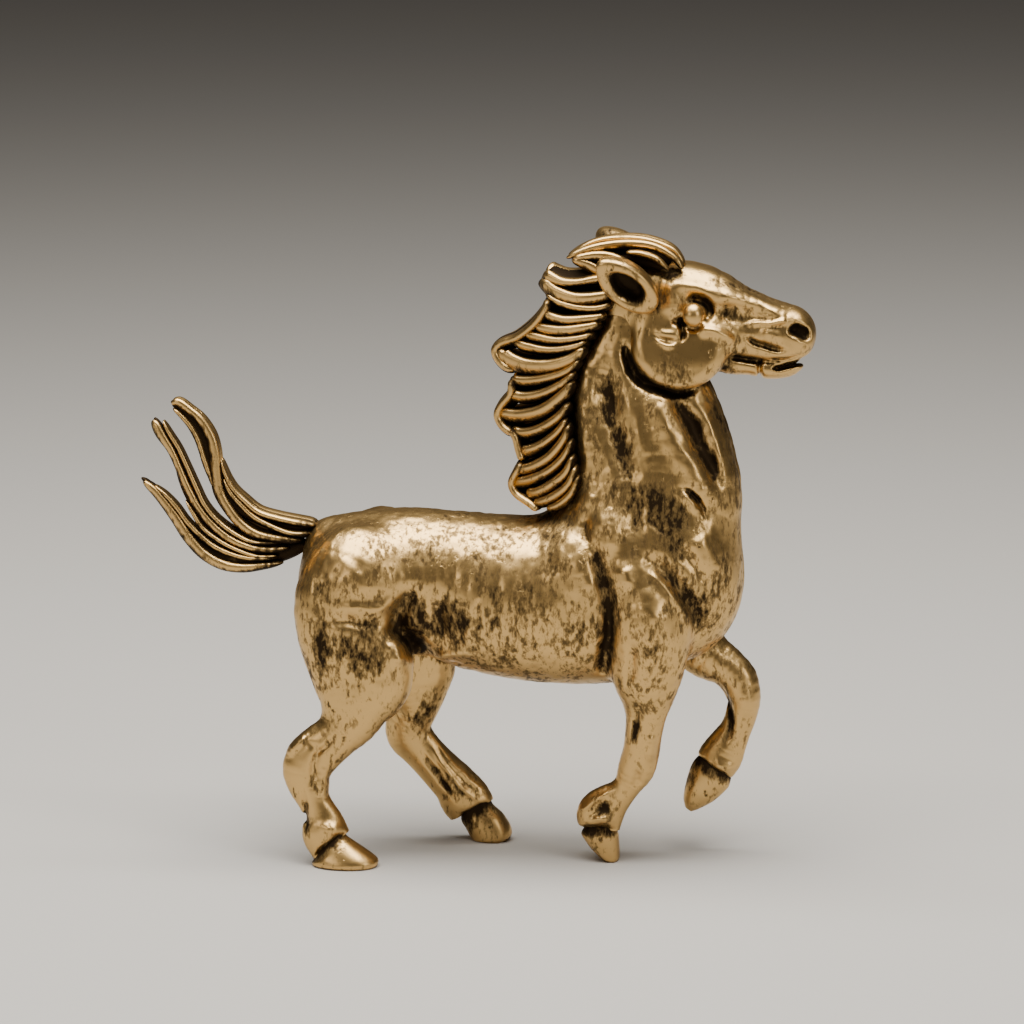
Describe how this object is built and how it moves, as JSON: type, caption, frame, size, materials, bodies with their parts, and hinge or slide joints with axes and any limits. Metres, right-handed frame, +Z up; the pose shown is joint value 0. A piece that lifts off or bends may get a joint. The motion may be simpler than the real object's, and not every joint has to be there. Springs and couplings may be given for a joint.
{
  "type": "horse statuette",
  "caption": "Small cast bronze horse at a high-stepping walk, head turned forward, mane and tail blown back, standing on its own hooves.",
  "frame": {"origin": "on the ground under the middle of the statuette's bounding box", "axes": "+X towards the horse's nose, +Y to the horse's left, +Z up"},
  "size_m": [0.0523, 0.0123, 0.0491],
  "materials": {
    "bronze": "antique cast bronze, rubbed bright on the high spots and dark brown in the recesses and casting pits",
    "bronze_hair": "antique cast bronze, near black between the strands and rubbed bright along their crests",
    "bronze_polished": "smooth rubbed bronze"
  },
  "bodies": {
    "root": {"torso": "bronze", "neck": "bronze", "head": "bronze", "foreleg_right": "bronze", "foreleg_left": "bronze", "hindleg_right": "bronze", "hindleg_left": "bronze", "hoof_fore_right": "bronze_polished", "hoof_fore_left": "bronze_polished", "hoof_hind_right": "bronze_polished", "hoof_hind_left": "bronze_polished", "ear_right": "bronze_polished", "ear_left": "bronze_polished", "eye_right": "bronze_polished", "eye_left": "bronze_polished", "forelock": "bronze_hair", "mane_lock_1": "bronze_hair", "mane_lock_2": "bronze_hair", "mane_lock_3": "bronze_hair", "mane_lock_4": "bronze_hair", "tail_lock_upper": "bronze_hair", "tail_lock_middle": "bronze_hair", "tail_lock_lower": "bronze_hair"}
  },
  "joints": []
}
